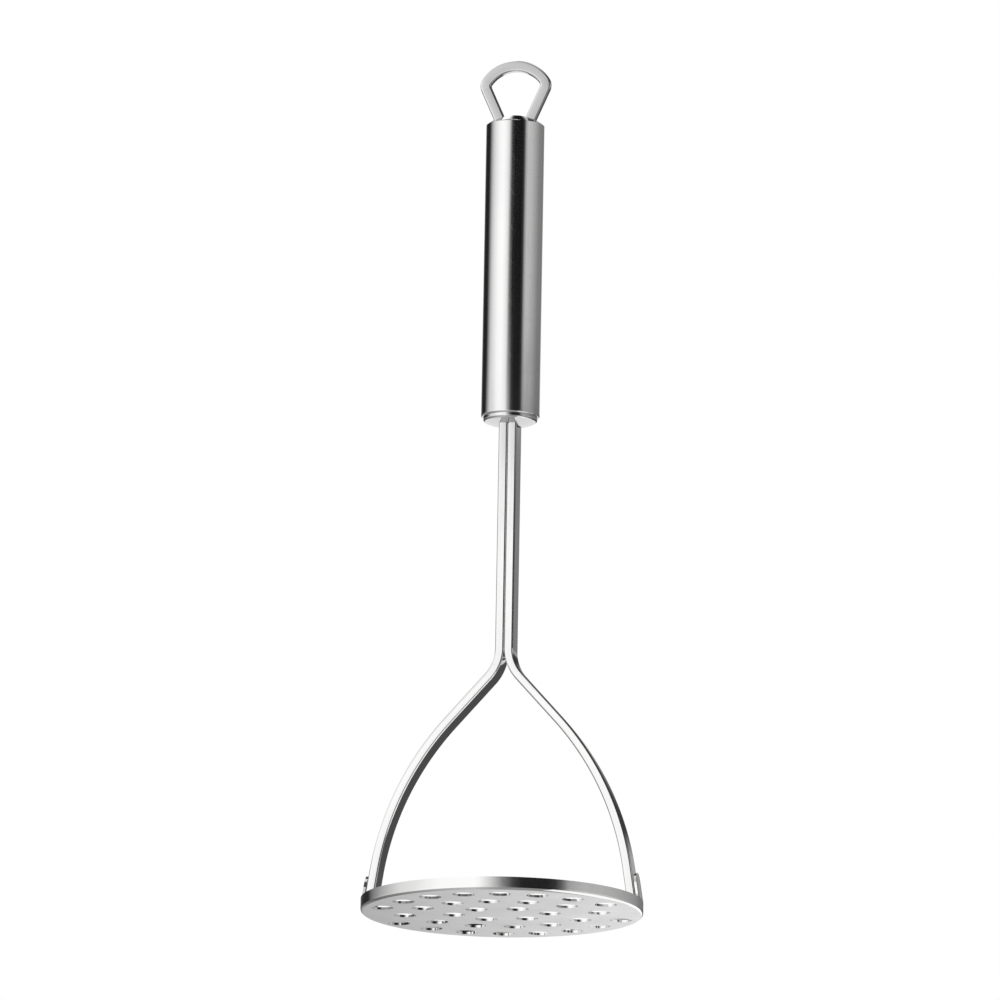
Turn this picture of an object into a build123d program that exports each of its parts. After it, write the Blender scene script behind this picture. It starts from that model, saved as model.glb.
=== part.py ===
from build123d import *
import math
import os

# Potato masher in stainless steel, standing upright on its mashing disc.
# Two flat bars run side by side down from the handle, fork apart, curve down to the disc's edge
# and are welded inside two tongues that stand up from its rim.
# Origin: centre of the disc's underside. +Z runs up the shaft to the hanging loop, and the
# forked bars lie in the XZ plane. All lengths are in millimetres, all angles in degrees.

# Mashing disc: one pressing of sheet, with an upturned rim
disc_diameter = 93.0
plate_thickness = 0.8
rim_height = 4.4
rim_corner_radius = 1.0
hole_diameter = 7.3

# Hole places, as shares of the disc's radius along and across the bars, for one quarter of the disc
inner_hole_shares = [(0.344, 0.0), (0.147, 0.197)]
middle_hole_shares = [(0.697, 0.0), (0.516, 0.285), (0.270, 0.464), (0.0, 0.523)]
outer_hole_shares = [(0.800, 0.324), (0.606, 0.559), (0.382, 0.734), (0.129, 0.817)]

# Welding tongues: the rim rises into one at each end, leaning inwards with the bar
tongue_width = 9.8
tongue_height = 13.0
tongue_corner_radius = 4.2
tongue_root_radius = 1.0

# Forked bars: flat bar with rounded edges
bar_thickness = 3.0
bar_width = 9.8
bar_edge_radius = 0.6
fork_height = 88.4
fork_bend_radius = 14.2
splay_angle = 42.2
arm_bend_radius = 96.8
foot_lean = 8.9
foot_height = 3.2
foot_seat_gap = 0.25

# Handle tube, closed by a plug below and a domed cap above
handle_diameter = 19.4
handle_wall = 0.7
handle_length = 99.2
handle_base_height = 167.0
handle_lip_radius = 0.5

# Lower plug: sits in the tube's bore, shows as a step below it and holds both bars.
# Its lower face bulges a little
plug_step = 1.4
plug_edge_radius = 0.8
plug_face_rise = 1.9
plug_depth = 14.0
plug_fit_gap = 0.05
bar_seat_depth = 11.0
bar_seat_gap = 0.05

# End cap: a shallow dome with a spigot in the tube's bore
dome_rise = 3.45
cap_spigot_length = 7.0
cap_fit_gap = 0.05

# Hanging loop: flat bar bent to a stirrup, its two feet let into the cap
loop_thickness = 3.6
loop_depth = 2.6
loop_edge_radius = 0.6
loop_width = 23.8
loop_rise = 18.9
loop_crown_radius = 11.7
loop_corner_radius = 2.8
loop_leg_lean = 24.0
loop_foot_depth = 4.5
loop_seat_gap = 0.05

# How far a cutting tool runs past the metal it cuts
cut_overrun = 2.0

# Worked out from the sizes above
disc_radius = disc_diameter / 2
handle_radius = handle_diameter / 2
bore_radius = handle_radius - handle_wall
handle_top_height = handle_base_height + handle_length
dome_top_height = handle_top_height + dome_rise
lean_slope = math.tan(math.radians(foot_lean))


def flat_bar_section(thickness, width, edge_radius, plane):
    """Cross-section of a flat bar with rounded edges, thickness along the plane's own X."""
    return plane * RectangleRounded(thickness, width, edge_radius)


def in_upright_plane(line):
    """Stand a line that was drawn on XY up in the plane of the bars."""
    return Plane.XZ * line


def revolved_outline(outline):
    """Solid of revolution about +Z from a closed outline drawn as radius and height."""
    return revolve(make_face(in_upright_plane(outline)), Axis.Z)


# The mashing disc

def tongue_inner_radius(height):
    """Radius of a tongue's inner face at a height above the underside."""
    return disc_radius - plate_thickness - (height - rim_height) * lean_slope


def dish():
    """Flat plate turned up into a low straight rim, with a rounded corner between them."""
    inner_corner = rim_corner_radius - plate_thickness
    inner_radius = disc_radius - plate_thickness
    corner_start = disc_radius - rim_corner_radius
    outline = Wire([
        Line((0, 0), (corner_start, 0)),
        RadiusArc((corner_start, 0), (disc_radius, rim_corner_radius), -rim_corner_radius),
        Line((disc_radius, rim_corner_radius), (disc_radius, rim_height)),
        Line((disc_radius, rim_height), (inner_radius, rim_height)),
        Line((inner_radius, rim_height), (inner_radius, rim_corner_radius)),
        RadiusArc((inner_radius, rim_corner_radius), (corner_start, plate_thickness), inner_corner),
        Line((corner_start, plate_thickness), (0, plate_thickness)),
        Line((0, plate_thickness), (0, 0)),
    ])
    return revolved_outline(outline)


def leaning_wall():
    """Ring of sheet that leans inwards from the rim's top edge, as high as the tongues."""
    top_inner = tongue_inner_radius(tongue_height)
    outline = Polyline(
        (disc_radius, rim_height),
        (top_inner + plate_thickness, tongue_height),
        (top_inner, tongue_height),
        (disc_radius - plate_thickness, rim_height),
        close=True,
    )
    return revolved_outline(outline)


def tongue_outline():
    """Face of a tongue seen along the bars' plane: two rounded upper corners, two hollow roots."""
    blank = Rectangle(tongue_width, tongue_height, align=(Align.CENTER, Align.MIN))
    blank = fillet(blank.vertices().group_by(Axis.Y)[-1], tongue_corner_radius)
    root_top = rim_height + tongue_root_radius
    foot_width = tongue_width + 2 * tongue_root_radius
    foot = Rectangle(foot_width, root_top, align=(Align.CENTER, Align.MIN))
    hollow = Pos(foot_width / 2, root_top) * Circle(tongue_root_radius)
    return blank + (foot - hollow - mirror(hollow, Plane.YZ))


def right_tongue():
    """Piece of the leaning wall left standing on the rim at the +X end."""
    start = Plane(origin=(disc_radius / 2, 0, 0), x_dir=(0, 1, 0), z_dir=(1, 0, 0))
    cutter = extrude(start * tongue_outline(), disc_radius / 2 + cut_overrun)
    return leaning_wall() & cutter


def hole_places():
    """Centres of all the holes: each quarter place, mirrored along and across the bars."""
    places = set()
    for share_along, share_across in inner_hole_shares + middle_hole_shares + outer_hole_shares:
        for side in (1, -1):
            for face in (1, -1):
                places.add((side * share_along * disc_radius, face * share_across * disc_radius))
    return sorted(places)


def mashing_disc():
    """Perforated dish with a welding tongue at each end of the bars' plane."""
    tongue = right_tongue()
    disc = dish() + tongue + mirror(tongue, Plane.YZ)
    drill = Cylinder(hole_diameter / 2, plate_thickness + 2 * cut_overrun)
    for x, y in hole_places():
        disc = disc - Pos(x, y, plate_thickness / 2) * drill
    return disc


# The forked bars

def foot_centre():
    """Middle of the right bar's lower end: its outer face lies against the tongue."""
    flat_half_width = bar_width / 2 - bar_edge_radius
    face = math.sqrt(tongue_inner_radius(foot_height) ** 2 - flat_half_width ** 2) - foot_seat_gap
    return face - bar_thickness / 2 / math.cos(math.radians(foot_lean)), foot_height


def straight_lengths():
    """Lengths of the arm between its bends and of the foot below them, so that the bar ends
    on the foot's centre."""
    splay = math.radians(splay_angle)
    lean = math.radians(foot_lean)
    foot_x, foot_z = foot_centre()
    out = foot_x - bar_thickness / 2
    out = out - fork_bend_radius * (1 - math.cos(splay))
    out = out - arm_bend_radius * (math.cos(lean) - math.cos(splay))
    down = fork_height - foot_z
    down = down - fork_bend_radius * math.sin(splay)
    down = down - arm_bend_radius * (math.sin(splay) - math.sin(lean))
    spread = math.sin(splay - lean)
    arm = (out * math.cos(lean) - down * math.sin(lean)) / spread
    foot = (down * math.sin(splay) - out * math.cos(splay)) / spread
    return arm, foot


def bar_route():
    """Centre line of the right bar: shaft, fork bend, straight arm, long bend and foot."""
    arm_length, foot_length = straight_lengths()
    top = handle_base_height - plug_step + bar_seat_depth
    shaft = Line((bar_thickness / 2, top), (bar_thickness / 2, fork_height))
    fork_bend = JernArc(shaft @ 1, shaft % 1, fork_bend_radius, splay_angle)
    arm = Line(fork_bend @ 1, fork_bend @ 1 + (fork_bend % 1) * arm_length)
    arm_bend = JernArc(arm @ 1, arm % 1, arm_bend_radius, foot_lean - splay_angle)
    foot = Line(arm_bend @ 1, arm_bend @ 1 + (arm_bend % 1) * foot_length)
    return in_upright_plane(Wire([shaft, fork_bend, arm, arm_bend, foot]))


def right_bar():
    """Flat bar swept along its route, wide side across the plane of the fork."""
    route = bar_route()
    start = Plane(origin=route @ 0, x_dir=(1, 0, 0), z_dir=route % 0)
    section = flat_bar_section(bar_thickness, bar_width, bar_edge_radius, start)
    return sweep(section, path=route)


def left_bar():
    """The same bar, turned to the other side."""
    return mirror(right_bar(), Plane.YZ)


# The handle

def handle_tube():
    """Plain tube, its lower outer edge rounded over."""
    middle = handle_base_height + handle_length / 2
    tube = Pos(0, 0, middle) * Cylinder(handle_radius, handle_length)
    lip = tube.edges().filter_by(GeomType.CIRCLE).sort_by(Axis.Z)[0]
    tube = fillet(lip, handle_lip_radius)
    return tube - Pos(0, 0, middle) * Cylinder(bore_radius, handle_length)


def plug_half_section():
    """Radius and height outline of the plug: straight side, rounded edge, bulging lower face."""
    radius = bore_radius - plug_fit_gap
    top = handle_base_height + plug_depth
    side_bottom = handle_base_height - plug_step
    face_bottom = side_bottom - plug_face_rise
    face_radius = (radius ** 2 + plug_face_rise ** 2) / (2 * plug_face_rise)
    section = make_face(Wire([
        Line((0, top), (radius, top)),
        Line((radius, top), (radius, side_bottom)),
        RadiusArc((radius, side_bottom), (0, face_bottom), face_radius),
        Line((0, face_bottom), (0, top)),
    ]))
    edge = section.vertices().group_by(Axis.X)[-1].sort_by(Axis.Y)[0]
    return fillet(edge, plug_edge_radius)


def lower_plug():
    """Round plug that stands below the tube as a step, with a seat for the pair of bars."""
    plug = revolve(in_upright_plane(plug_half_section()), Axis.Z)
    seat = RectangleRounded(
        2 * (bar_thickness + bar_seat_gap),
        bar_width + 2 * bar_seat_gap,
        bar_edge_radius + bar_seat_gap,
    )
    seat_top = handle_base_height - plug_step + bar_seat_depth + bar_seat_gap
    seat_start = handle_base_height - plug_step - plug_face_rise - cut_overrun
    return plug - extrude(Pos(0, 0, seat_start) * seat, seat_top - seat_start)


def end_cap():
    """Shallow dome on the tube's end, with a spigot in the bore and a seat for each loop foot."""
    spigot_radius = bore_radius - cap_fit_gap
    spigot_base = handle_top_height - cap_spigot_length
    dome_radius = (handle_radius ** 2 + dome_rise ** 2) / (2 * dome_rise)
    outline = Wire([
        Line((0, spigot_base), (spigot_radius, spigot_base)),
        Line((spigot_radius, spigot_base), (spigot_radius, handle_top_height)),
        Line((spigot_radius, handle_top_height), (handle_radius, handle_top_height)),
        RadiusArc((handle_radius, handle_top_height), (0, dome_top_height), -dome_radius),
        Line((0, dome_top_height), (0, spigot_base)),
    ])
    return revolved_outline(outline) - loop_solid(loop_seat_gap)


# The hanging loop

def loop_route(extra_length):
    """Centre line of the loop: leg, corner, crown, corner and leg."""
    lean = math.radians(loop_leg_lean)
    crown_top = dome_top_height + loop_rise - loop_thickness / 2
    crown_centre = crown_top - loop_crown_radius
    corner_x = loop_width / 2 - loop_thickness / 2 - loop_corner_radius
    centre_distance = loop_crown_radius - loop_corner_radius
    corner_z = crown_centre + math.sqrt(centre_distance ** 2 - corner_x ** 2)
    shoulder_x = corner_x + loop_corner_radius * math.cos(lean)
    shoulder_z = corner_z - loop_corner_radius * math.sin(lean)
    foot_z = dome_top_height - loop_foot_depth - extra_length
    foot_x = shoulder_x - (shoulder_z - foot_z) * math.tan(lean)
    crown_x = corner_x * loop_crown_radius / centre_distance
    crown_z = crown_centre + (corner_z - crown_centre) * loop_crown_radius / centre_distance
    right = [
        Line((foot_x, foot_z), (shoulder_x, shoulder_z)),
        RadiusArc((shoulder_x, shoulder_z), (crown_x, crown_z), -loop_corner_radius),
    ]
    crown = RadiusArc((crown_x, crown_z), (-crown_x, crown_z), -loop_crown_radius)
    left = [
        RadiusArc((-crown_x, crown_z), (-shoulder_x, shoulder_z), -loop_corner_radius),
        Line((-shoulder_x, shoulder_z), (-foot_x, foot_z)),
    ]
    return in_upright_plane(Wire(right + [crown] + left))


def loop_solid(gap):
    """The loop, or with a gap the slightly larger form that cuts its seats in the cap."""
    route = loop_route(gap)
    across = Vector(0, 1, 0)
    start = Plane(origin=route @ 0, x_dir=across.cross(route % 0), z_dir=route % 0)
    section = flat_bar_section(
        loop_thickness + 2 * gap, loop_depth + 2 * gap, loop_edge_radius + gap, start)
    return sweep(section, path=route)


def hanging_loop():
    """Flat bar bent to a stirrup."""
    return loop_solid(0)


parts = {
    "mashing_disc": mashing_disc,
    "left_bar": left_bar,
    "right_bar": right_bar,
    "lower_plug": lower_plug,
    "handle_tube": handle_tube,
    "end_cap": end_cap,
    "hanging_loop": hanging_loop,
}

os.makedirs("parts", exist_ok=True)
for name, make in parts.items():
    piece = make()
    export_step(piece, f"parts/{name}.step")
    size = piece.bounding_box().size
    print(f"{name}: volume {piece.volume:.0f}, size {size.X:.2f} x {size.Y:.2f} x {size.Z:.2f}")
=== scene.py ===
# %% [markdown]
# # A potato masher in polished steel
#
# The masher was drawn in CAD first, and this lesson gives it its looks. It has a perforated
# disc with an upturned rim, two flat bars that fork above it, a tubular handle and a hanging
# loop. Everything is steel, so the eye reads mostly reflections: the care goes into smooth
# surfaces, small roundings that catch the light, and what the steel sees around it.

# %% Load the CAD frame
import bmesh
import bpy
import math
from mathutils import Matrix, Vector


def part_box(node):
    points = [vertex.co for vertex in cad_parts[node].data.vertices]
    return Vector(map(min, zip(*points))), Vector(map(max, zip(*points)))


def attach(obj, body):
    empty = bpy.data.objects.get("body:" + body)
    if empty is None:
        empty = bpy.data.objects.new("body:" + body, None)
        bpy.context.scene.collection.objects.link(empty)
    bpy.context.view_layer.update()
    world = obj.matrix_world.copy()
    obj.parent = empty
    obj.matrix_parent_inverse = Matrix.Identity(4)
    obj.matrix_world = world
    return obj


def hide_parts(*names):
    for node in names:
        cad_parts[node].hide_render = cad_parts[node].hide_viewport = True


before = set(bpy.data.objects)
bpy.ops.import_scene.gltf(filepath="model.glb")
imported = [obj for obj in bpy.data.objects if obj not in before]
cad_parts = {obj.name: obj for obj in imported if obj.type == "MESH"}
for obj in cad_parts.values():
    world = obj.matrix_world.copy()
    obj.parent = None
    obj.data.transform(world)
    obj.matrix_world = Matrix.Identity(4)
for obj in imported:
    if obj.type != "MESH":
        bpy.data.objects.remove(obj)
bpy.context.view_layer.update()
scene = bpy.context.scene
scene.view_settings.view_transform = "Standard"
mm = 0.001
print("CAD nodes:", sorted(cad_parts))

# %% [markdown]
# ## Sizes
#
# The new pieces stand where the CAD nodes stand, so the main sizes are read from the nodes'
# boxes. The few that a box can't tell, such as a bend's radius, come from the drawing.

# %% Sizes read from the CAD nodes
disc_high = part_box("mashing_disc")[1]
tube_low, tube_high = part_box("handle_tube")
plug_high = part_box("lower_plug")[1]
cap_low, cap_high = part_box("end_cap")
loop_low, loop_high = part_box("hanging_loop")
bar_low, bar_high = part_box("right_bar")

disc_radius = disc_high.x
tongue_height = disc_high.z
handle_radius = tube_high.x
handle_base = tube_low.z
handle_top = tube_high.z
plug_radius = plug_high.x
plug_top = plug_high.z
dome_top = cap_high.z
bar_top = bar_high.z
bar_width = bar_high.y - bar_low.y
loop_depth = loop_high.y - loop_low.y
loop_width = loop_high.x - loop_low.x
print("handle diameter", round(2 * handle_radius / mm, 2), "mm")
print("bar width", round(bar_width / mm, 2), "mm")

# %% Sizes from the drawing
sheet_thickness = 0.8 * mm
rim_height = 4.4 * mm
rim_corner_radius = 1.0 * mm
hole_radius = 3.65 * mm
hole_shares = [
    (0.344, 0.0), (0.147, 0.197),
    (0.697, 0.0), (0.516, 0.285), (0.270, 0.464), (0.0, 0.523),
    (0.800, 0.324), (0.606, 0.559), (0.382, 0.734), (0.129, 0.817),
]
tongue_width = 9.8 * mm
tongue_corner_radius = 4.2 * mm
tongue_root_radius = 1.0 * mm

bar_thickness = 3.0 * mm
bar_edge_radius = 0.6 * mm
fork_height = 88.4 * mm
fork_bend_radius = 14.2 * mm
arm_bend_radius = 96.8 * mm
foot_height = 3.2 * mm
foot_seat_gap = 0.25 * mm
splay_angle = math.radians(42.2)
foot_lean = math.radians(8.9)

handle_wall = 0.7 * mm
handle_lip_radius = 0.5 * mm
plug_step = 1.4 * mm
plug_edge_radius = 0.8 * mm
plug_face_rise = 1.9 * mm
seat_gap = 0.05 * mm

loop_thickness = 3.6 * mm
loop_edge_radius = 0.6 * mm
loop_crown_radius = 11.7 * mm
loop_corner_radius = 2.8 * mm
loop_leg_lean = math.radians(24.0)
loop_foot_depth = 4.5 * mm
print("holes in a quarter of the disc, shared ones counted:", len(hole_shares))

# %% [markdown]
# ## The camera
#
# The photograph looks up at the masher from a little below and to the right, through a long
# lens from almost four metres. The turn, tilt and height were found by matching points in it
# to the CAD model, such as the ends of the handle and the edge of the disc.

# %% Place the camera
camera_distance = 3.827
camera_height = -0.65855
camera_turn = math.radians(10.0716)
camera_yaw = math.radians(0.0442)
camera_pitch = math.radians(11.7721)
camera_roll = math.radians(0.9955)
camera_focal_pixels = 11806.1
camera_sensor_width = 36
camera_reach = 20
image_width_pixels = 1000

heading = camera_turn + camera_yaw
forward = Vector((
    -math.sin(heading) * math.cos(camera_pitch),
    math.cos(heading) * math.cos(camera_pitch),
    math.sin(camera_pitch),
))
level_right = forward.cross(Vector((0, 0, 1))).normalized()
level_up = level_right.cross(forward)
right = math.cos(camera_roll) * level_right + math.sin(camera_roll) * level_up
up = math.cos(camera_roll) * level_up - math.sin(camera_roll) * level_right
camera_turned = Matrix((right, up, -forward)).transposed().to_4x4()
camera_place = Vector((
    camera_distance * math.sin(camera_turn),
    -camera_distance * math.cos(camera_turn),
    camera_height,
))

camera_data = bpy.data.cameras.new("camera")
camera_data.sensor_width = camera_sensor_width
camera_data.lens = camera_focal_pixels * camera_sensor_width / image_width_pixels
camera_data.clip_end = camera_reach
camera = bpy.data.objects.new("camera", camera_data)
camera.matrix_world = Matrix.Translation(camera_place) @ camera_turned
scene.collection.objects.link(camera)
scene.camera = camera
print("lens:", round(camera_data.lens, 1), "mm")

# %% [markdown]
# ## Small helpers for node trees
#
# Materials and Geometry Nodes are both trees of nodes, so a few helpers keep the cells short. A
# socket is given by its name or, where several share a name, by its number.

# %% Node helpers

def add_node(tree, kind, values=None, **settings):
    """Add a node, set its properties, and fill its inputs by name or number."""
    node = tree.nodes.new(kind)
    for name, value in settings.items():
        setattr(node, name, value)
    for socket, value in (values or {}).items():
        if isinstance(value, bpy.types.NodeSocket):
            tree.links.new(value, node.inputs[socket])
        else:
            node.inputs[socket].default_value = value
    return node


def calculate(tree, operation, first, second=0.0):
    """A Math node; returns its output."""
    return add_node(tree, "ShaderNodeMath", {0: first, 1: second}, operation=operation).outputs[0]


def vector_math(tree, operation, *inputs):
    """A Vector Math node; returns its vector or its number."""
    node = add_node(tree, "ShaderNodeVectorMath", dict(enumerate(inputs)), operation=operation)
    return node.outputs["Value" if operation in ("LENGTH", "DOT_PRODUCT") else "Vector"]


def split_xyz(tree, vector):
    """The outputs X, Y and Z of a vector."""
    return add_node(tree, "ShaderNodeSeparateXYZ", {0: vector}).outputs


def rescale(tree, value, old_range, new_range=(0.0, 1.0)):
    """A Map Range node from one range to another; returns its output."""
    limits = {"Value": value, "From Min": old_range[0], "From Max": old_range[1],
              "To Min": new_range[0], "To Max": new_range[1]}
    return add_node(tree, "ShaderNodeMapRange", limits).outputs["Result"]


def mix_colours(tree, amount, first, second):
    """A Mix node for two colours; returns its output."""
    return add_node(tree, "ShaderNodeMix", {0: amount, 6: first, 7: second}, data_type="RGBA").outputs[2]


def new_material(name):
    """A material with nodes, and its tree."""
    material = bpy.data.materials.new(name)
    material.use_nodes = True
    return material, material.node_tree


# %% [markdown]
# ## Polished steel
#
# The handle and the bars are polished, yet a kitchen tool is never a perfect mirror. The
# polishing wheel leaves very fine lines along the work, hands leave faint clouds, and use
# leaves a few hair scratches. Each is a noise of its own: stretched for the lines, large and
# soft for the clouds, thin crossings of a wave for the scratches. They change roughness and
# height, hardly the colour.
#
# The lines run along the metal. On the handle that is along Z, so Object coordinates do. On a
# bent bar they turn with the bend, so the bar's tree stores a distance along and round it.

# %% Finish of the polished pieces
steel_colour = (0.79, 0.79, 0.785, 1.0)
cloud_colour = (0.75, 0.75, 0.75, 1.0)
noise_range = (0.3, 0.7)

line_pitch = 0.16 * mm
line_length = 24 * mm
line_depth = 0.002 * mm
line_strength = 0.25
line_roughness = (0.035, 0.07)
soft_roughness = (0.0, 0.02)

broad_line_pitch = 6 * line_pitch
broad_line_length = 3 * line_length
broad_line_range = (0.35, 0.7)

cloud_size = 17 * mm
cloud_height = 1.6 * cloud_size
cloud_colour_range = (0.35, 0.75)
cloud_range = (0.45, 0.75)

scratch_spacing = 21 * mm
scratch_range = (0.0, 0.00025)
scratch_roughness = 0.08


def noise(tree, coordinates, sizes, detail=2.0, seed=0.0):
    """Noise whose grains have the given sizes along the three axes, in metres."""
    scale = tuple(1 / size for size in sizes)
    mapping = add_node(tree, "ShaderNodeMapping",
                       {"Vector": coordinates, "Scale": scale, "Location": (seed, seed, seed)})
    values = {"Vector": mapping.outputs["Vector"], "Scale": 1.0, "Detail": detail}
    return add_node(tree, "ShaderNodeTexNoise", values).outputs["Fac"]


def scratches(tree, coordinates, turn, seed):
    """Thin hair scratches: the narrow zero crossings of a warped wave."""
    mapping = add_node(tree, "ShaderNodeMapping",
                       {"Vector": coordinates, "Rotation": turn, "Location": (seed, seed, seed)})
    values = {"Vector": mapping.outputs["Vector"], "Scale": 1 / scratch_spacing,
              "Distortion": 6.0, "Detail": 1.0, "Detail Scale": 0.4}
    wave = add_node(tree, "ShaderNodeTexWave", values, wave_type="BANDS", wave_profile="SIN")
    return rescale(tree, wave.outputs["Fac"], scratch_range, (1.0, 0.0))


def fill_steel(tree, colour, roughness, grain, hairs, strength, depth):
    """Bare metal: its colour, its roughness, and a fine relief of grain and hair scratches."""
    roughness = calculate(tree, "ADD", roughness, calculate(tree, "MULTIPLY", hairs, scratch_roughness))
    height = calculate(tree, "SUBTRACT", grain, hairs)
    bump = add_node(tree, "ShaderNodeBump", {"Height": height, "Strength": strength, "Distance": depth})
    shader = tree.nodes["Principled BSDF"]
    tree.links.new(colour, shader.inputs["Base Color"])
    tree.links.new(roughness, shader.inputs["Roughness"])
    tree.links.new(bump.outputs["Normal"], shader.inputs["Normal"])
    shader.inputs["Metallic"].default_value = 1.0


def polished_steel(name, along_attribute=None):
    """Mirror-polished steel with fine lines, faint clouds and a few hair scratches."""
    material, tree = new_material(name)
    place = add_node(tree, "ShaderNodeTexCoord").outputs["Object"]
    run = place
    if along_attribute:
        run = add_node(tree, "ShaderNodeAttribute", attribute_name=along_attribute).outputs["Vector"]
    lines = noise(tree, run, (line_pitch, line_pitch, line_length), detail=3.0)
    broad_lines = noise(tree, run, (broad_line_pitch, broad_line_pitch, broad_line_length), seed=3.0)
    clouds = noise(tree, place, (cloud_size, cloud_size, cloud_height), detail=3.0, seed=7.0)
    hairs = scratches(tree, place, turn=(0.5, 0.3, 0.7), seed=0.4)

    colour = mix_colours(tree, rescale(tree, clouds, cloud_colour_range), steel_colour, cloud_colour)
    roughness = rescale(tree, lines, noise_range, line_roughness)
    for pattern, pattern_range in ((broad_lines, broad_line_range), (clouds, cloud_range)):
        more = rescale(tree, pattern, pattern_range, soft_roughness)
        roughness = calculate(tree, "ADD", roughness, more)
    fill_steel(tree, colour, roughness, lines, hairs, line_strength, line_depth)
    return material


handle_steel = polished_steel("handle_steel")
bar_steel = polished_steel("bar_steel", "along_bar")
print("finishes:", handle_steel.name, bar_steel.name)

# %% [markdown]
# ## Satin underside, polished rim
#
# The disc is one pressing with two finishes. The flat plate is satin: fine short grain and a
# wide, even gleam. The rim and the walls of the holes are buffed nearly as bright as the
# handle. One material does both by asking which way the surface faces: flat is satin, upright
# is polished, and the rim's corner turns from one to the other.

# %% Finish of the disc
satin_colour = (0.72, 0.72, 0.72, 1.0)
flat_to_upright = (0.97, 0.80)
grain_pitch = 0.12 * mm
grain_length = 1.4 * mm
grain_depth = 0.004 * mm
satin_strength = 0.3
buffed_strength = 0.08
satin_roughness = (0.27, 0.37)
buffed_roughness = (0.06, 0.10)
wear_size = 14 * mm
wear_roughness = (-0.03, 0.05)


def satin_and_buffed_steel(name):
    """Satin where the surface lies flat, buffed bright where it stands upright."""
    material, tree = new_material(name)
    coordinates = add_node(tree, "ShaderNodeTexCoord")
    place = coordinates.outputs["Object"]
    flatness = calculate(tree, "ABSOLUTE", split_xyz(tree, coordinates.outputs["Normal"])["Z"])
    buffed = rescale(tree, flatness, flat_to_upright)
    grain = noise(tree, place, (grain_length, grain_pitch, grain_pitch), detail=3.0)
    wear = noise(tree, place, (wear_size, wear_size, wear_size), detail=4.0, seed=5.0)
    hairs = scratches(tree, place, turn=(0.2, 0.1, 1.1), seed=0.9)

    colour = mix_colours(tree, buffed, satin_colour, steel_colour)
    satin = calculate(tree, "ADD", rescale(tree, grain, noise_range, satin_roughness),
                      rescale(tree, wear, noise_range, wear_roughness))
    polish = rescale(tree, wear, noise_range, buffed_roughness)
    roughness = add_node(tree, "ShaderNodeMix", {0: buffed, 2: satin, 3: polish}).outputs[0]
    strength = rescale(tree, buffed, (0.0, 1.0), (satin_strength, buffed_strength))
    fill_steel(tree, colour, roughness, grain, hairs, strength, grain_depth)
    return material


disc_steel = satin_and_buffed_steel("disc_steel")
print("finish:", disc_steel.name)

# %% [markdown]
# ## Growing a mesh from a tree
#
# A Geometry Nodes tree turns a small starting mesh into a finished one. A helper puts the tree
# on an object, sets its named inputs and keeps the result as a plain mesh.

# %% Helpers for trees and meshes
sharp_angle = math.radians(32)


def new_geometry_tree(name, lengths):
    """A tree with geometry in and out, and an input for each length and for the steel."""
    tree = bpy.data.node_groups.new(name, "GeometryNodeTree")
    tree.interface.new_socket("Geometry", in_out="INPUT", socket_type="NodeSocketGeometry")
    tree.interface.new_socket("Geometry", in_out="OUTPUT", socket_type="NodeSocketGeometry")
    for label in lengths:
        tree.interface.new_socket(label, in_out="INPUT", socket_type="NodeSocketFloat")
    tree.interface.new_socket("Steel", in_out="INPUT", socket_type="NodeSocketMaterial")
    return tree, tree.nodes.new("NodeGroupInput"), tree.nodes.new("NodeGroupOutput")


def named_value(tree, name, kind):
    """The value of a mesh attribute."""
    node = add_node(tree, "GeometryNodeInputNamedAttribute", {"Name": name}, data_type=kind)
    return node.outputs["Attribute"]


def joined(tree, *parts):
    """A Join Geometry node; returns its output."""
    node = add_node(tree, "GeometryNodeJoinGeometry")
    for part in parts:
        tree.links.new(part, node.inputs[0])
    return node.outputs[0]


def finish_tree(tree, start, end, geometry):
    """Make instances real, set the material, and pass the geometry to the tree's output."""
    real = add_node(tree, "GeometryNodeRealizeInstances", {0: geometry})
    painted = add_node(tree, "GeometryNodeSetMaterial",
                       {"Geometry": real.outputs[0], "Material": start.outputs["Steel"]})
    tree.links.new(painted.outputs[0], end.inputs[0])
    return tree


def filleted(tree, curve, steps, radius):
    """A Fillet Curve node that rounds a curve's corners; returns its output."""
    values = {"Curve": curve, "Count": steps, "Radius": radius}
    return add_node(tree, "GeometryNodeFilletCurve", values, mode="POLY").outputs[0]


def plain_object(name, mesh):
    """An object at the origin that holds a mesh, linked to the scene."""
    piece = bpy.data.objects.new(name, mesh)
    scene.collection.objects.link(piece)
    return piece


def object_from(shape, name, material):
    """An object with one material from a bmesh, which is freed."""
    mesh = bpy.data.meshes.new(name)
    shape.to_mesh(mesh)
    shape.free()
    mesh.materials.append(material)
    return plain_object(name, mesh)


def with_modifiers_applied(piece):
    """Replace the object's mesh by its evaluated one and remove the modifiers."""
    depsgraph = bpy.context.evaluated_depsgraph_get()
    mesh = bpy.data.meshes.new_from_object(piece.evaluated_get(depsgraph), depsgraph=depsgraph)
    piece.modifiers.clear()
    piece.data = mesh
    mesh.name = piece.name
    return piece


def grow(name, starting_mesh, tree, values):
    """Run a tree on a starting mesh and return an object with the plain result."""
    piece = plain_object(name, starting_mesh)
    modifier = piece.modifiers.new("tree", "NODES")
    modifier.node_group = tree
    for item in tree.interface.items_tree:
        if item.in_out == "INPUT" and item.name in values:
            modifier[item.identifier] = values[item.name]
    return with_modifiers_applied(piece)


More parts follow.
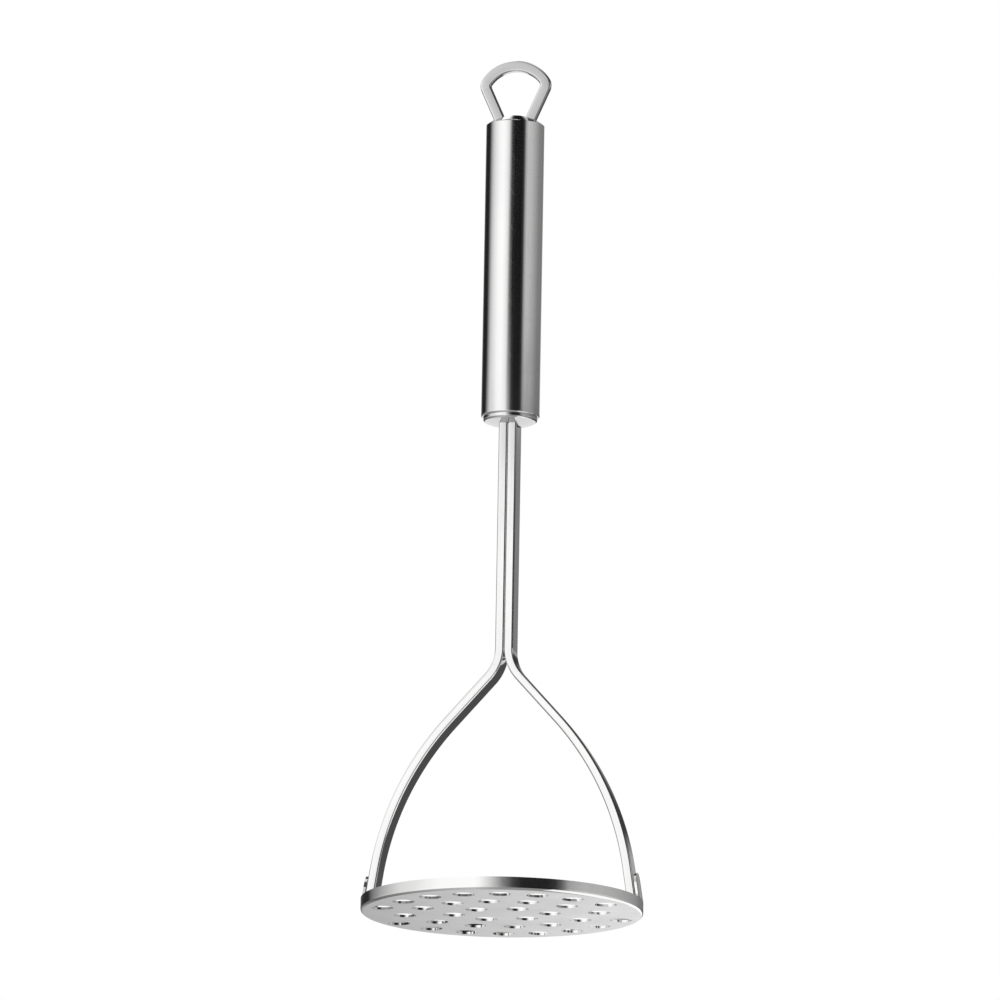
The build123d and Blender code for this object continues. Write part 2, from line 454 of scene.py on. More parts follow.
def smooth_with_crisp_edges(piece):
    """Average the normals round each corner by area, but not across a sharp edge."""
    mesh = piece.data
    mesh.shade_smooth()
    mesh.set_sharp_from_angle(angle=sharp_angle)
    normals = [face.normal.copy() for face in mesh.polygons]
    weighted = [face.normal * face.area for face in mesh.polygons]
    faces_round = [[] for vertex in mesh.vertices]
    for face in mesh.polygons:
        for vertex in face.vertices:
            faces_round[vertex].append(face.index)
    limit = math.cos(sharp_angle)
    smooth = []
    for face in mesh.polygons:
        own = normals[face.index]
        for vertex in face.vertices:
            near = [weighted[k] for k in faces_round[vertex] if normals[k].dot(own) > limit]
            smooth.append(sum(near, Vector()).normalized())
    mesh.normals_split_custom_set(smooth)
    print(piece.name, "has", len(mesh.polygons), "faces")


# %% [markdown]
# ## The bent flat bars
#
# Both fork bars and the hanging loop are flat bar, bent flatwise. The tree takes such a piece
# as a maker would describe it: a polyline whose corners carry a bend radius. It rounds the
# corners and sweeps a rectangle with rounded edges along the line. The same rule, grown by a
# gap, makes the tools that cut the seats. It also stores how far each point lies along and
# round the bar, so that the polishing lines follow the bends.

# %% Tree for a bent flat bar
bend_steps = 48
edge_steps = 5


def bent_flat_bar_tree():
    """Rounds a polyline's corners and sweeps a flat bar's section along it."""
    tree, start, end = new_geometry_tree("bent flat bar", ["Thickness", "Width", "Edge radius"])
    route = add_node(tree, "GeometryNodeMeshToCurve", {0: start.outputs["Geometry"]})
    bent = filleted(tree, route.outputs[0], bend_steps, named_value(tree, "bend_radius", "FLOAT"))
    facing = add_node(tree, "GeometryNodeSetCurveNormal",
                      {"Curve": bent, "Normal": (0, 1, 0)}, mode="FREE")
    along = add_node(tree, "GeometryNodeSplineParameter")
    line = add_node(tree, "GeometryNodeCaptureAttribute", {"Geometry": facing.outputs[0]})
    line.capture_items.new("FLOAT", "Along")
    tree.links.new(along.outputs["Length"], line.inputs[1])

    section = add_node(tree, "GeometryNodeCurvePrimitiveQuadrilateral",
                       {"Width": start.outputs["Width"], "Height": start.outputs["Thickness"]})
    rounded = filleted(tree, section.outputs[0], edge_steps, start.outputs["Edge radius"])
    outline = add_node(tree, "GeometryNodeCaptureAttribute", {"Geometry": rounded})
    outline.capture_items.new("VECTOR", "Round")
    here = add_node(tree, "GeometryNodeInputPosition")
    tree.links.new(here.outputs[0], outline.inputs[1])

    swept = add_node(tree, "GeometryNodeCurveToMesh", {
        "Curve": line.outputs["Geometry"],
        "Profile Curve": outline.outputs["Geometry"],
        "Fill Caps": True,
    })
    parts = split_xyz(tree, outline.outputs[1])
    pattern = add_node(tree, "ShaderNodeCombineXYZ",
                       {"X": parts["X"], "Y": parts["Y"], "Z": line.outputs[1]})
    stored = add_node(tree, "GeometryNodeStoreNamedAttribute", {
        "Geometry": swept.outputs[0],
        "Name": "along_bar",
        "Value": pattern.outputs[0],
    }, data_type="FLOAT_VECTOR", domain="POINT")
    return finish_tree(tree, start, end, stored.outputs[0])


bar_tree = bent_flat_bar_tree()
print("tree:", bar_tree.name, "with", len(bar_tree.nodes), "nodes")

# %% Helper: a route with bend radii

def route_mesh(name, corners):
    """A polyline from (x, z, bend radius) corners in the plane of the fork."""
    mesh = bpy.data.meshes.new(name)
    points = [(x, 0, z) for x, z, radius in corners]
    mesh.from_pydata(points, [(k, k + 1) for k in range(len(points) - 1)], [])
    bend = mesh.attributes.new("bend_radius", "FLOAT", "POINT")
    for item, (x, z, radius) in zip(bend.data, corners):
        item.value = radius
    return mesh


def bent_bar(name, corners, thickness, width, edge_radius, gap=0.0):
    """One bent flat bar; the tool that cuts its seat is larger by a gap."""
    piece = grow(name, route_mesh(name, corners), bar_tree, {
        "Thickness": thickness + 2 * gap,
        "Width": width + 2 * gap,
        "Edge radius": edge_radius + gap,
        "Steel": bar_steel,
    })
    size = [round(value / mm, 1) for value in piece.dimensions]
    print(name, "measures", size, "mm")
    return piece


# %% [markdown]
# ## The forked bars
#
# Each bar runs down from inside the plug, bends outwards at the fork, and curves back almost
# upright where it meets the disc. The corners of its route are where its straight lines would
# cross if there were no bends. Its foot stands against the disc's welding tongue.

# %% Route and mesh of each fork bar

def tongue_inner_radius(height):
    """Radius of a tongue's inner face at a height above the underside."""
    return disc_radius - sheet_thickness - (height - rim_height) * math.tan(foot_lean)


def fork_bar_corners(side):
    """Top, fork, arm and foot of one bar; side is 1 for right and -1 for left."""
    flat_half_width = bar_width / 2 - bar_edge_radius
    foot_face = math.sqrt(tongue_inner_radius(foot_height) ** 2 - flat_half_width ** 2) - foot_seat_gap
    foot_x = foot_face - bar_thickness / 2 / math.cos(foot_lean)
    shaft_x = bar_thickness / 2
    fork_z = fork_height - fork_bend_radius * math.tan(splay_angle / 2)
    arm_slope = math.tan(splay_angle)
    foot_slope = math.tan(foot_lean)
    drop = shaft_x - foot_x + fork_z * arm_slope - foot_height * foot_slope
    arm_z = drop / (arm_slope - foot_slope)
    arm_x = shaft_x + (fork_z - arm_z) * arm_slope
    return [
        (side * shaft_x, bar_top, 0.0),
        (side * shaft_x, fork_z, fork_bend_radius),
        (side * arm_x, arm_z, arm_bend_radius),
        (side * foot_x, foot_height, 0.0),
    ]


bar_section = (bar_thickness, bar_width, bar_edge_radius)
right_bar = bent_bar("right_fork_bar", fork_bar_corners(1), *bar_section)
left_bar = bent_bar("left_fork_bar", fork_bar_corners(-1), *bar_section)

# %% [markdown]
# ## The hanging loop
#
# The loop is a stirrup: two straight legs that lean outwards, two tight corners and a wide
# crown. The crown is a bend too: a corner at its apex, rounded with the crown's radius. The
# corners' places follow from the arcs, which touch.

# %% Route and mesh of the loop

def loop_corners(gap):
    """Corners of the loop's route; its feet are longer by a gap."""
    crown_top = loop_high.z - loop_thickness / 2
    crown_centre = crown_top - loop_crown_radius
    bend_x = loop_width / 2 - loop_thickness / 2 - loop_corner_radius
    reach = loop_crown_radius - loop_corner_radius
    bend_z = crown_centre + math.sqrt(reach ** 2 - bend_x ** 2)
    shoulder_x = bend_x + loop_corner_radius * math.cos(loop_leg_lean)
    shoulder_z = bend_z - loop_corner_radius * math.sin(loop_leg_lean)
    foot_z = dome_top - loop_foot_depth - gap
    foot_x = shoulder_x - (shoulder_z - foot_z) * math.tan(loop_leg_lean)

    # The crown's arc ends where the corner's arc begins; its tangent there leads to both corners
    crown_angle = math.atan2(bend_z - crown_centre, bend_x)
    touch_x = loop_crown_radius * math.cos(crown_angle)
    touch_z = crown_centre + loop_crown_radius * math.sin(crown_angle)
    apex_z = touch_z + touch_x / math.tan(crown_angle)
    slope = math.tan(math.pi / 2 - crown_angle)
    leg_slope = 1 / math.tan(loop_leg_lean)
    corner_x = (apex_z - shoulder_z + shoulder_x * leg_slope) / (leg_slope + slope)
    corner_z = apex_z - corner_x * slope
    right = [(foot_x, foot_z, 0.0), (corner_x, corner_z, loop_corner_radius)]
    left = [(-x, z, radius) for x, z, radius in reversed(right)]
    return right + [(0.0, apex_z, loop_crown_radius)] + left


loop_section = (loop_thickness, loop_depth, loop_edge_radius)
hanging_loop = bent_bar("hanging_stirrup", loop_corners(0.0), *loop_section)

# %% [markdown]
# ## Turned pieces
#
# The tube, the plug and the cap are round. Each is half an outline, from the axis outwards,
# turned about Z as on a lathe. The outline carries the small roundings that catch the light.
# Points on the axis come out many times, so doubles are merged; otherwise the poles stay open.

# %% Helpers for turning
turning_steps = 192
pole_merge_distance = 0.0005 * mm


def arc(centre, radius, first_degrees, last_degrees, steps=6):
    """Points on an arc, as (radius from the axis, height)."""
    points = []
    for k in range(steps + 1):
        angle = math.radians(first_degrees + (last_degrees - first_degrees) * k / steps)
        points.append((centre[0] + radius * math.cos(angle), centre[1] + radius * math.sin(angle)))
    return points


def turned(name, outline, material):
    """Solid of revolution from a closed outline of (radius, height) points."""
    shape = bmesh.new()
    ring = [shape.verts.new((radius, 0, height)) for radius, height in outline]
    edges = [shape.edges.new((ring[k], ring[(k + 1) % len(ring)])) for k in range(len(ring))]
    bmesh.ops.spin(shape, geom=ring + edges, cent=(0, 0, 0), axis=(0, 0, 1), angle=2 * math.pi,
                   steps=turning_steps, use_merge=True, use_duplicate=False)
    bmesh.ops.remove_doubles(shape, verts=shape.verts, dist=pole_merge_distance)
    bmesh.ops.recalc_face_normals(shape, faces=shape.faces)
    return object_from(shape, name, material)


def cut(piece, tool):
    """Cut one solid out of another, then throw the tool away."""
    modifier = piece.modifiers.new("cut", "BOOLEAN")
    modifier.operation = "DIFFERENCE"
    modifier.solver = "EXACT"
    modifier.object = tool
    with_modifiers_applied(piece)
    bpy.data.objects.remove(tool)


# %% [markdown]
# ## Handle tube
#
# A plain drawn tube, open inside between the plug and the cap. Its rounded lower edge shows in
# the photograph as a thin dark arc above the plug's step.

# %% Turn the handle tube
bore_radius = handle_radius - handle_wall
lip_centre = (handle_radius - handle_lip_radius, handle_base + handle_lip_radius)
tube_outline = [(bore_radius, handle_base)]
tube_outline += arc(lip_centre, handle_lip_radius, -90, 0)
tube_outline += [(handle_radius, handle_top), (bore_radius, handle_top)]
handle_tube = turned("handle_sleeve", tube_outline, handle_steel)
print(handle_tube.name, "has", len(handle_tube.data.polygons), "faces")

# %% [markdown]
# ## Lower plug
#
# The plug closes the tube and holds the two bars. Only its end shows: a narrow step, a rounded
# edge, and a lower face that bulges a little. The rounding touches both the face and the
# straight side, so its centre lies where both are one rounding radius away. The seat is cut
# with one bar as thick as both together, larger by the gap, which shows as a fine dark line.

# %% Turn the plug and cut its seat
side_bottom = handle_base - plug_step
face_bottom = side_bottom - plug_face_rise
face_radius = (plug_radius ** 2 + plug_face_rise ** 2) / (2 * plug_face_rise)
face_centre = face_bottom + face_radius
edge_x = plug_radius - plug_edge_radius
edge_z = face_centre - math.sqrt((face_radius - plug_edge_radius) ** 2 - edge_x ** 2)
touch_degrees = math.degrees(math.atan2(edge_z - face_centre, edge_x))
plug_outline = arc((0.0, face_centre), face_radius, -90, touch_degrees, steps=16)
plug_outline += arc((edge_x, edge_z), plug_edge_radius, touch_degrees, 0, steps=10)
plug_outline += [(plug_radius, plug_top), (0.0, plug_top)]
lower_plug = turned("handle_plug", plug_outline, handle_steel)
seat_corners = [
    (0.0, face_bottom - plug_edge_radius, 0.0),
    (0.0, bar_top + seat_gap, 0.0),
]
seat_tool = bent_bar("bar_seat_tool", seat_corners, 2 * bar_thickness, bar_width, bar_edge_radius,
                     gap=seat_gap)
cut(lower_plug, seat_tool)

# %% [markdown]
# ## End cap
#
# A shallow dome, its edge flush with the tube, with a spigot inside the bore. The loop's feet
# go in at a slant, so their seats are cut with the loop itself, grown by the gap.

# %% Turn the cap and cut the loop's seats
dome_rise = dome_top - handle_top
dome_radius = (handle_radius ** 2 + dome_rise ** 2) / (2 * dome_rise)
dome_edge_degrees = math.degrees(math.acos(handle_radius / dome_radius))
spigot_radius = bore_radius - seat_gap
cap_outline = [(0.0, cap_low.z), (spigot_radius, cap_low.z), (spigot_radius, handle_top)]
cap_outline += arc((0.0, dome_top - dome_radius), dome_radius, dome_edge_degrees, 90, steps=24)
end_cap = turned("domed_cap", cap_outline, handle_steel)
loop_tool = bent_bar("loop_seat_tool", loop_corners(seat_gap), *loop_section, gap=seat_gap)
cut(end_cap, loop_tool)

# %% [markdown]
# ## Mashing disc, first half: the perforated plate
#
# The holes have two mirror planes, so only a quarter of them is listed. The tree mirrors their
# places both ways, fills the plate between its edge and the holes, and sets a narrow ring round
# every hole. A Boolean with 34 drills would leave long thin faces at the lips, which show on
# bright metal; the rings give the rounding of the lips clean faces to work on.

# %% Tree for the perforated plate
hole_steps = 48
land_width = 0.45 * mm
merge_distance = 0.004 * mm


def perforated_plate_tree():
    """Fills a ring of edges, leaving a hole with a neat land at each mirrored place."""
    tree, start, end = new_geometry_tree("perforated plate", ["Hole radius", "Land width"])
    chosen = {"Geometry": start.outputs["Geometry"], "Selection": named_value(tree, "hole", "BOOLEAN")}
    split = add_node(tree, "GeometryNodeSeparateGeometry", chosen, domain="POINT")
    edge = add_node(tree, "GeometryNodeMeshToCurve", {0: split.outputs["Inverted"]})

    places = split.outputs["Selection"]
    for flip in ((-1, 1, 1), (1, -1, 1)):
        flipped = add_node(tree, "GeometryNodeTransform", {"Geometry": places, "Scale": flip})
        places = joined(tree, places, flipped.outputs[0])
    places = add_node(tree, "GeometryNodeMergeByDistance",
                      {"Geometry": places, "Distance": merge_distance}).outputs[0]

    hole_size = start.outputs["Hole radius"]
    land_size = start.outputs["Land width"]
    land_radius = calculate(tree, "ADD", hole_size, land_size)
    land_edge = add_node(tree, "GeometryNodeCurvePrimitiveCircle",
                         {"Resolution": hole_steps, "Radius": land_radius})
    land_edges = add_node(tree, "GeometryNodeInstanceOnPoints",
                          {"Points": places, "Instance": land_edge.outputs[0]})
    land_edges = add_node(tree, "GeometryNodeRealizeInstances", {0: land_edges.outputs[0]})
    outlines = joined(tree, edge.outputs[0], land_edges.outputs[0])
    filled = add_node(tree, "GeometryNodeFillCurve", {"Curve": outlines})

    hole_edge = add_node(tree, "GeometryNodeMeshCircle", {"Vertices": hole_steps, "Radius": hole_size})
    here = add_node(tree, "GeometryNodeInputPosition")
    land = add_node(tree, "GeometryNodeExtrudeMesh", {
        "Mesh": hole_edge.outputs[0],
        "Offset": vector_math(tree, "NORMALIZE", here.outputs[0]),
        "Offset Scale": land_size,
    }, mode="EDGES")
    lands = add_node(tree, "GeometryNodeInstanceOnPoints",
                     {"Points": places, "Instance": land.outputs[0]})
    return finish_tree(tree, start, end, joined(tree, filled.outputs[0], lands.outputs[0]))


plate_tree = perforated_plate_tree()
print("tree:", plate_tree.name, "with", len(plate_tree.nodes), "nodes")

# %% [markdown]
# ## Mashing disc, second half: the rim and its tongues
#
# Outside the plate the sheet turns up into a low rim, and at each end of the fork it rises into
# a welding tongue that leans in with the bar. It is drawn as one grid: columns round the disc,
# rows up the wall. In a tongue each column goes on from the rim's edge to its own point on the
# tongue's outline, so the rounded corners and the hollow roots need no cutting.

# %% Outline of a tongue
column_angle = math.radians(1.25)
tongue_columns = 64
tongue_rows = [0.06, 0.25, 0.5, 0.75, 0.94, 1.0]
tongue_half = tongue_width / 2
window_half = tongue_half + tongue_root_radius


def tongue_outline():
    """Closely spaced (across, height) points along the outline, from one root to the other."""
    shoulder = (tongue_half - tongue_corner_radius, tongue_height - tongue_corner_radius)
    root = (window_half, rim_height + tongue_root_radius)
    half = [(0.0, tongue_height)]
    half += arc(shoulder, tongue_corner_radius, 90, 0, steps=40)
    half += arc(root, tongue_root_radius, 180, 270, steps=16)
    return [(-across, height) for across, height in reversed(half)] + half[1:]


tongue_points = tongue_outline()
tongue_lengths = [0.0]
for first, second in zip(tongue_points, tongue_points[1:]):
    tongue_lengths.append(tongue_lengths[-1] + math.dist(first, second))


def tongue_top(share):
    """Point on the tongue's outline at a share of its length."""
    goal = share * tongue_lengths[-1]
    k = next(k for k in range(1, len(tongue_points)) if tongue_lengths[k] >= goal)
    part = (goal - tongue_lengths[k - 1]) / (tongue_lengths[k] - tongue_lengths[k - 1])
    (across_a, height_a), (across_b, height_b) = tongue_points[k - 1], tongue_points[k]
    return across_a + part * (across_b - across_a), height_a + part * (height_b - height_a)


def tongue_base(share):
    """Where a column leaves the rim's edge: straight below its top in the roots, evenly between."""
    root_share = math.pi / 2 * tongue_root_radius / tongue_lengths[-1]
    if share <= root_share or share >= 1 - root_share:
        return tongue_top(share)[0]
    return tongue_half * (2 * (share - root_share) / (1 - 2 * root_share) - 1)


print("a tongue's top point:", [round(value / mm, 2) for value in tongue_top(0.5)])

# %% The sheet of the rim
wall_rows = [0.12, 0.9, 1.0]


def rim_columns():
    """(angle, share along the tongue's outline or None, side) for each column round the disc."""
    window = math.asin(window_half / disc_radius)
    columns = []
    for side, middle in ((1, 0.0), (-1, math.pi)):
        for k in range(tongue_columns + 1):
            share = k / tongue_columns
            columns.append((middle + math.asin(tongue_base(share) / disc_radius), share, side))
        plain = math.pi - 2 * window
        count = round(plain / column_angle)
        for k in range(1, count):
            columns.append((middle + window + plain * k / count, None, side))
    return columns


def wall_profile():
    """(radius, height) of the sheet's outer face from the plate's edge up to the rim's edge."""
    corner = (disc_radius - rim_corner_radius, rim_corner_radius)
    points = arc(corner, rim_corner_radius, -90, 0, steps=12)
    wall = rim_height - rim_corner_radius
    return points + [(disc_radius, rim_corner_radius + wall * share) for share in wall_rows]


def rim_sheet():
    """Points, faces and number of rows of the rim's outer face, with its two tongues."""
    profile = wall_profile()
    rows = len(profile) + len(tongue_rows)
    points = []
    for angle, share, side in rim_columns():
        column = [Vector((r * math.cos(angle), r * math.sin(angle), z)) for r, z in profile]
        base = column[-1]
        for part in tongue_rows:
            if share is None:
                column.append(base.copy())
                continue
            across, height = tongue_top(share)
            y = base.y + part * (side * across - base.y)
            z = base.z + part * (height - base.z)
            radius = disc_radius - (z - rim_height) * math.tan(foot_lean)
            column.append(Vector((side * math.sqrt(radius ** 2 - y ** 2), y, z)))
        points += column
    count = len(points) // rows
    faces = []
    for k in range(count):
        here, there = k * rows, (k + 1) % count * rows
        faces += [(here + r, there + r, there + r + 1, here + r + 1) for r in range(rows - 1)]
    return points, faces, rows


rim_points, rim_faces, rim_rows = rim_sheet()
print("rim sheet:", len(rim_points) // rim_rows, "columns of", rim_rows, "rows")

# %% [markdown]
# ## Joining the sheet and giving it thickness
#
# Plate and rim share the points on the plate's edge, so they merge into one open sheet: the
# disc's outer face. Solidify thickens it inwards, and a fine Bevel rounds every cut edge.

# %% Build the disc
deburr_radius = 0.13 * mm
deburr_steps = 2
deburr_angle = math.radians(40)


def plate_start():
    """Starting mesh of the plate's tree: its edge as a ring, and a quarter of the hole places."""
    ring = rim_points[::rim_rows]
    holes = [(along * disc_radius, across * disc_radius, 0) for along, across in hole_shares]
    mesh = bpy.data.meshes.new("plate_start")
    mesh.from_pydata(ring + holes, [(k, (k + 1) % len(ring)) for k in range(len(ring))], [])
    mark = mesh.attributes.new("hole", "BOOLEAN", "POINT")
    for k, item in enumerate(mark.data):
        item.value = k >= len(ring)
    return mesh


def pressed_disc():
    """The whole disc: perforated plate and rim merged, thickened and deburred."""
    plate = grow("perforated_plate", plate_start(), plate_tree,
                 {"Hole radius": hole_radius, "Land width": land_width, "Steel": disc_steel})
    shape = bmesh.new()
    shape.from_mesh(plate.data)
    corners = [shape.verts.new(point) for point in rim_points]
    for face in rim_faces:
        shape.faces.new([corners[k] for k in face])
    bmesh.ops.remove_doubles(shape, verts=shape.verts, dist=merge_distance)
    bmesh.ops.dissolve_degenerate(shape, edges=shape.edges, dist=merge_distance / 4)
    bmesh.ops.recalc_face_normals(shape, faces=shape.faces)
    lowest = min(shape.faces, key=lambda face: face.calc_center_median().z)
    if lowest.normal.z > 0:
        bmesh.ops.reverse_faces(shape, faces=shape.faces)
    open_edges = sum(1 for edge in shape.edges if edge.is_boundary)
    bpy.data.objects.remove(plate)
    disc = object_from(shape, "mashing_plate", disc_steel)
    print("edges on holes and rim of the sheet:", open_edges)

    wall = disc.modifiers.new("sheet thickness", "SOLIDIFY")
    wall.thickness = sheet_thickness
    wall.offset = -1
    wall.use_even_offset = False
    deburr = disc.modifiers.new("deburr", "BEVEL")
    deburr.width = deburr_radius
    deburr.segments = deburr_steps
    deburr.limit_method = "ANGLE"
    deburr.angle_limit = deburr_angle
    return with_modifiers_applied(disc)


mashing_disc = pressed_disc()
print("disc measures", [round(value / mm, 2) for value in mashing_disc.dimensions], "mm")

# %% [markdown]
# ## What the steel sees
#
# Polished steel has no look of its own: it shows the studio, with long soft boxes on both sides
# and dark boards between them. Here the studio is painted on the world, for reflections only.
# The camera and the soft light on the floor get an even white.
#
# Such a studio is easiest to plan on the handle: at which angle round it does each band lie? A
# mirror that shows a direction stands half-way between that direction and the viewer. So the
# world adds each direction to the line towards the photograph's camera, and the half-way line's
# turn round the upright axis picks the band. The camera looks up steeply at the handle and
# flatly at the disc, so the height of the two lines' sum tells handle, bars and disc apart.
#
# How far the half-way line leans picks what lies below and above: low boards, then the pale
# ground; a dark beam, and overhead the ceiling light. The studio stays put when the camera
# moves, because the line that it is planned for never changes.

# %% Studio bands, by the angle round the piece
handle_bands = [
    (-90, 0.40), (-80, 0.17), (-73, 0.022), (-61, 0.016), (-57, 0.05), (-52, 0.34), (-47, 0.67),
    (-40, 0.96), (-30, 1.22), (-22, 1.26), (-16, 1.12), (-11, 0.86), (-8, 0.36), (-5, 0.05),
    (-1, 0.01), (15, 0.01), (19, 0.05), (23, 0.46), (27, 0.66), (36, 0.60), (48, 0.41),
    (58, 0.27), (68, 0.25), (73, 0.19), (79, 0.34), (90, 0.66),
]
bar_bands = [
    (-90, 0.40), (-80, 0.17), (-73, 0.03), (-61, 0.03), (-52, 0.50), (-46, 0.90), (-38, 0.72),
    (-28, 1.10), (-9, 1.26), (-5, 0.80), (0, 0.14), (5, 0.03), (58, 0.03), (70, 0.10),
    (77, 0.20), (84, 0.26), (90, 0.28),
]
disc_bands = [
    (-90, 0.12), (-83, 0.05), (-77, 0.02), (-71, 0.03), (-66, 0.26), (-60, 0.52), (-50, 0.78),
    (-38, 1.05), (-26, 1.25), (-11, 1.24), (-5, 0.80), (0, 0.34), (4, 0.08), (8, 0.012),
    (18, 0.012), (22, 0.03), (25, 0.18), (28, 0.55), (36, 0.74), (48, 0.67), (60, 0.51),
    (70, 0.36), (76, 0.24), (82, 0.20), (90, 0.30),
]
low_boards = [
    (-90, 0.10), (-72, 0.12), (-58, 0.20), (-46, 0.28), (-32, 0.42), (-12, 0.62), (0, 0.34),
    (14, 0.30), (26, 0.40), (36, 0.26), (48, 0.14), (66, 0.09), (90, 0.07),
]
high_beams = [(-90, 0.90), (-28, 0.85), (-12, 0.50), (-2, 0.06), (90, 0.04)]
ground_brightness = 0.87
ceiling_brightness = 0.90
far_side_brightness = 0.35
ramp_gain = 2
print("stops:", len(handle_bands), "handle,", len(bar_bands), "bars,", len(disc_bands), "disc")

# %% Where one part of the studio fades into the next
planned_rise = math.radians(11.6)
sum_handle_to_bars = (0.0100, 0.0072)
sum_bars_to_disc = (-0.020, -0.029)
lean_to_boards = (-0.10, -0.24)
lean_to_ground = (-0.86, -0.91)
lean_to_beam = (0.08, 0.16)
lean_past_beam = (0.76, 0.70)
rise_to_ceiling = (0.80, 0.93)
lean_past_ceiling = (0.70, 0.64)
length_to_far_side = (0.18, 0.06)


def brightness(tree, share, look):
    """One plain brightness, or a list of bands; share is 0 at -90 degrees and 1 at 90."""
    if isinstance(look, float):
        return look, look, look, 1
    ramp = add_node(tree, "ShaderNodeValToRGB", {"Fac": share})
    stops = ramp.color_ramp.elements
    while len(stops) < len(look):
        stops.new(0.5)
    for stop, (degrees, level) in zip(stops, look):
        stop.position = (degrees + 90) / 180
        stop.color = (level / ramp_gain, level / ramp_gain, level / ramp_gain, 1)
    return vector_math(tree, "MULTIPLY", ramp.outputs["Color"], (ramp_gain, ramp_gain, ramp_gain))


# %% Paint the studio on the world
world = bpy.data.worlds.new("studio")
scene.world = world
world.use_nodes = True
tree = world.node_tree
tree.nodes.clear()
direction = add_node(tree, "ShaderNodeTexCoord").outputs["Generated"]
turned_direction = add_node(tree, "ShaderNodeVectorRotate",
                            {"Vector": direction, "Angle": -camera_turn}, rotation_type="Z_AXIS")
viewer = (0, -math.cos(planned_rise), -math.sin(planned_rise))
both = vector_math(tree, "ADD", turned_direction.outputs[0], viewer)
length = vector_math(tree, "LENGTH", both)
mirror = split_xyz(tree, vector_math(tree, "NORMALIZE", both))
lean = mirror["Z"]
towards = calculate(tree, "MULTIPLY", mirror["Y"], -1.0)
angle = calculate(tree, "ARCTAN2", mirror["X"], towards)
share = rescale(tree, angle, (-math.pi / 2, math.pi / 2))
sum_height = split_xyz(tree, both)["Z"]
rise = split_xyz(tree, direction)["Z"]

in_beam = calculate(tree, "MULTIPLY", rescale(tree, lean, lean_to_beam),
                    rescale(tree, lean, lean_past_beam))
in_ceiling = calculate(tree, "MULTIPLY", rescale(tree, rise, rise_to_ceiling),
                       rescale(tree, lean, lean_past_ceiling))
layers = [
    (rescale(tree, sum_height, sum_handle_to_bars), bar_bands),
    (rescale(tree, sum_height, sum_bars_to_disc), disc_bands),
    (rescale(tree, lean, lean_to_boards), low_boards),
    (rescale(tree, lean, lean_to_ground), ground_brightness),
    (in_beam, high_beams),
    (in_ceiling, ceiling_brightness),
    (rescale(tree, length, length_to_far_side), far_side_brightness),
]
seen = brightness(tree, share, handle_bands)
for amount, look in layers:
    seen = mix_colours(tree, amount, seen, brightness(tree, share, look))

seen_in_steel = add_node(tree, "ShaderNodeBackground", {"Color": seen})
plain = add_node(tree, "ShaderNodeBackground", {"Color": (1, 1, 1, 1)})
ray = add_node(tree, "ShaderNodeLightPath")
choice = add_node(tree, "ShaderNodeMixShader", {
    0: ray.outputs["Is Glossy Ray"], 1: plain.outputs[0], 2: seen_in_steel.outputs[0]})
add_node(tree, "ShaderNodeOutputWorld", {"Surface": choice.outputs[0]})
print("world:", world.name, "with", len(tree.nodes), "nodes")

# %% [markdown]
# ## Floor, board and lamp
#
# The photograph looks at the underside, so the floor is a pale sheet with one side: from below
# it isn't there. It fades out into the white background, and it keeps out of the steel's
# reflections, where the world already gives a pale ground. One soft lamp gives the shadow.
#
# The satin underside gleams more to the right, and a bright line runs along the rim's right
# corner. A graded board gives both: it stands low behind the masher, glows from dim to bright,
# has a wing on the right, and is seen only in reflections.

# %% Floor
floor_radius = 0.55
floor_fade = (0.22, 0.95 * floor_radius)
floor_drop = 0.4 * mm
floor_steps = 96
floor_colour = (0.86, 0.86, 0.86, 1)
floor_roughness = 0.6


def floor_material():
    """Pale, one-sided and fading to nothing at its edge."""
    material, tree = new_material("pale_floor")
    shader = tree.nodes["Principled BSDF"]
    shader.inputs["Base Color"].default_value = floor_colour
    shader.inputs["Roughness"].default_value = floor_roughness
    shader.inputs["Specular IOR Level"].default_value = 0.0
    place = add_node(tree, "ShaderNodeTexCoord").outputs["Object"]
    fading = rescale(tree, vector_math(tree, "LENGTH", place), floor_fade)
    under = add_node(tree, "ShaderNodeNewGeometry").outputs["Backfacing"]
    gone = calculate(tree, "MAXIMUM", fading, under)
    clear = add_node(tree, "ShaderNodeBsdfTransparent")
    mixed = add_node(tree, "ShaderNodeMixShader", {0: gone, 1: shader.outputs[0], 2: clear.outputs[0]})
    tree.links.new(mixed.outputs[0], tree.nodes["Material Output"].inputs["Surface"])
    return material


floor_shape = bmesh.new()
bmesh.ops.create_circle(floor_shape, cap_ends=True, segments=floor_steps, radius=floor_radius)
floor = object_from(floor_shape, "floor", floor_material())
floor.location.z = -floor_drop
floor.visible_glossy = False
floor.visible_diffuse = False
print("floor looks up:", floor.data.polygons[0].normal.z > 0)

# %% Graded board
board_distance = 0.13
board_half_width = 0.20
board_top = -0.006
board_bottom = -0.085
wing_distance = 0.15
wing_bottom = -0.25
board_ramp = (-0.12, 0.075)
board_brightness = (0.20, 1.22)
board_right = Vector((math.cos(camera_turn), math.sin(camera_turn), 0))
board_away = Vector((-math.sin(camera_turn), math.cos(camera_turn), 0))


def upright_board(first, last, bottom):
    """Corners of an upright board between two (right, away) places."""
    corners = [(first, bottom), (last, bottom), (last, board_top), (first, board_top)]
    return [board_right * x + board_away * y + Vector((0, 0, z)) for (x, y), z in corners]


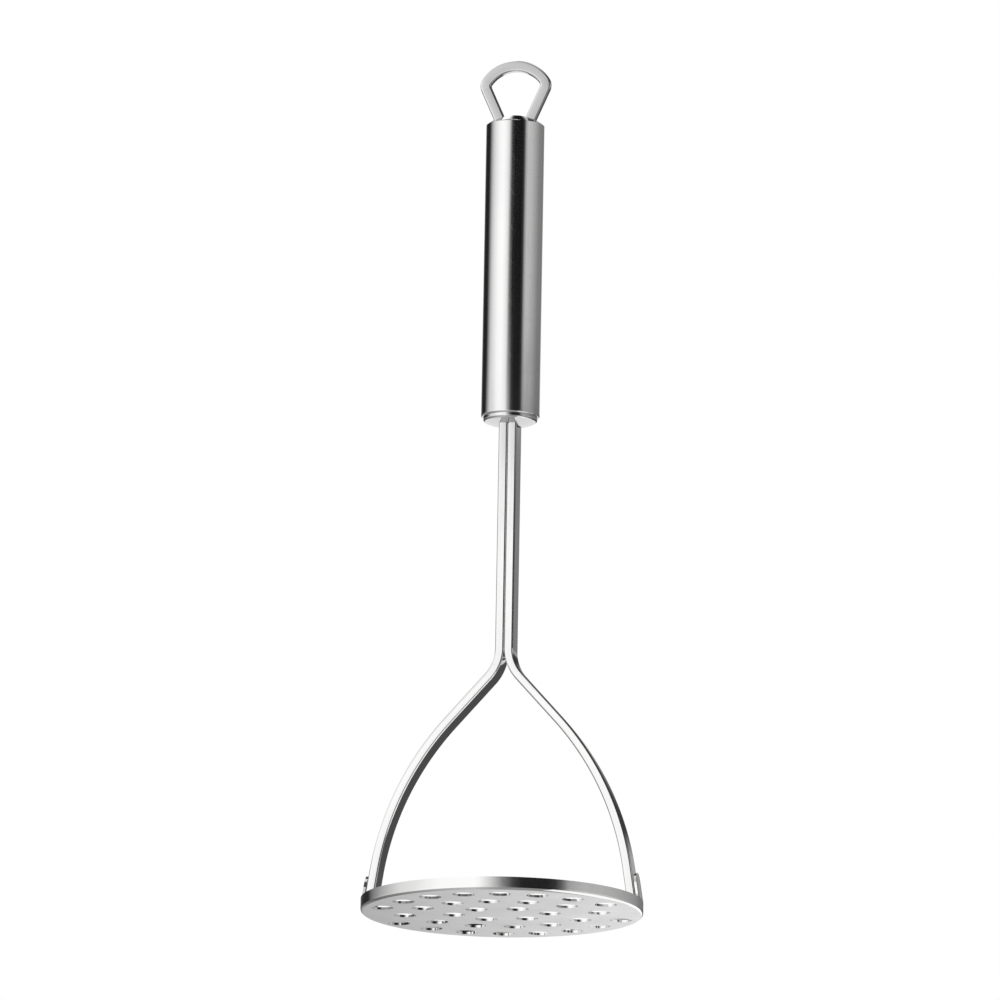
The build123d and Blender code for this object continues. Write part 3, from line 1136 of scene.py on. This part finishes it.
# The glow grows evenly from left to right as the camera sees it
board_material, tree = new_material("graded_board")
tree.nodes.clear()
place = add_node(tree, "ShaderNodeTexCoord").outputs["Object"]
across = vector_math(tree, "DOT_PRODUCT", place, board_right)
glow = rescale(tree, across, board_ramp, board_brightness)
shader = add_node(tree, "ShaderNodeEmission", {"Color": (1, 1, 1, 1), "Strength": glow})
add_node(tree, "ShaderNodeOutputMaterial", {"Surface": shader.outputs[0]})

back_corners = upright_board((-board_half_width, board_distance), (board_half_width, board_distance),
                             board_bottom)
wing_corners = upright_board((wing_distance, -board_half_width), (wing_distance, board_half_width),
                             wing_bottom)
board_mesh = bpy.data.meshes.new("graded_board")
board_mesh.from_pydata(back_corners + wing_corners, [], [(0, 1, 2, 3), (4, 5, 6, 7)])
board_mesh.materials.append(board_material)
board = plain_object("graded_board", board_mesh)
board.visible_camera = False
board.visible_diffuse = False
board.visible_transmission = False
board.visible_shadow = False
print("board and wing:", [round(value, 2) for value in board.dimensions], "m")

# %% Soft lamp
lamp_size = 0.7
lamp_power = 5.0
lamp_place = Vector((-0.55, -0.45, 1.25))
lamp_target = Vector((0, 0, 0.05))

lamp_data = bpy.data.lights.new("soft_lamp", "AREA")
lamp_data.shape = "DISK"
lamp_data.size = lamp_size
lamp_data.energy = lamp_power
lamp = bpy.data.objects.new("soft_lamp", lamp_data)
lamp.location = lamp_place
lamp.rotation_euler = (lamp_target - lamp_place).to_track_quat("-Z", "Y").to_euler()
lamp.visible_glossy = False
scene.collection.objects.link(lamp)
print("lamp stands", round((lamp_place - lamp_target).length, 2), "m away")

# %% [markdown]
# ## Hand over the pieces
#
# Each new piece gets its smooth shading and rides on the one rigid body, and the CAD node that it
# stands in for is hidden.

# %% Smooth, ride and hide the CAD nodes
handed_over = [
    (mashing_disc, "mashing_disc", "brushed_steel"),
    (left_bar, "left_bar", "polished_steel"),
    (right_bar, "right_bar", "polished_steel"),
    (lower_plug, "lower_plug", "polished_steel"),
    (handle_tube, "handle_tube", "polished_steel"),
    (end_cap, "end_cap", "polished_steel"),
    (hanging_loop, "hanging_loop", "polished_steel"),
]
for piece, node, slot in handed_over:
    smooth_with_crisp_edges(piece)
    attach(piece, "root")
    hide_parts(node)
print("pieces handed over:", len(handed_over))
